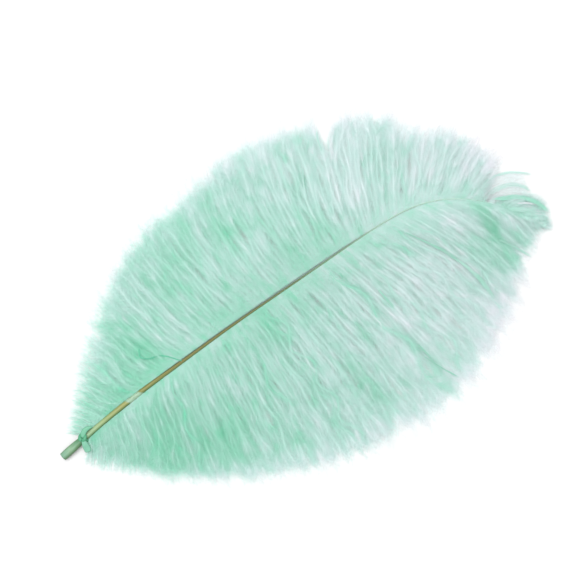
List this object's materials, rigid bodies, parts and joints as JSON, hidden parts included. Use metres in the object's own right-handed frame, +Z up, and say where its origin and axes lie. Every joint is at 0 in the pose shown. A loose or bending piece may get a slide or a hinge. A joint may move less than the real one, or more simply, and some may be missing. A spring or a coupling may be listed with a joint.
{
  "type": "ostrich feather",
  "caption": "Dyed ostrich plume lying flat, with a bare cut quill, a shaft that curves aside at its tip, two soft drooping vanes and a short string knotted round the quill.",
  "frame": {"origin": "middle of the plume's footprint, on the surface that it lies on", "axes": "+X along the chord from the cut end of the quill to the tip, +Y to the narrower vane, +Z up from the surface, out of the plume's upper side"},
  "size_m": [0.3005, 0.1879, 0.0118],
  "materials": {
    "feather_vane": "matte",
    "dyed_string": "matte"
  },
  "bodies": {
    "root": {"feather": "feather_vane", "quill_tie": "dyed_string"}
  },
  "joints": []
}
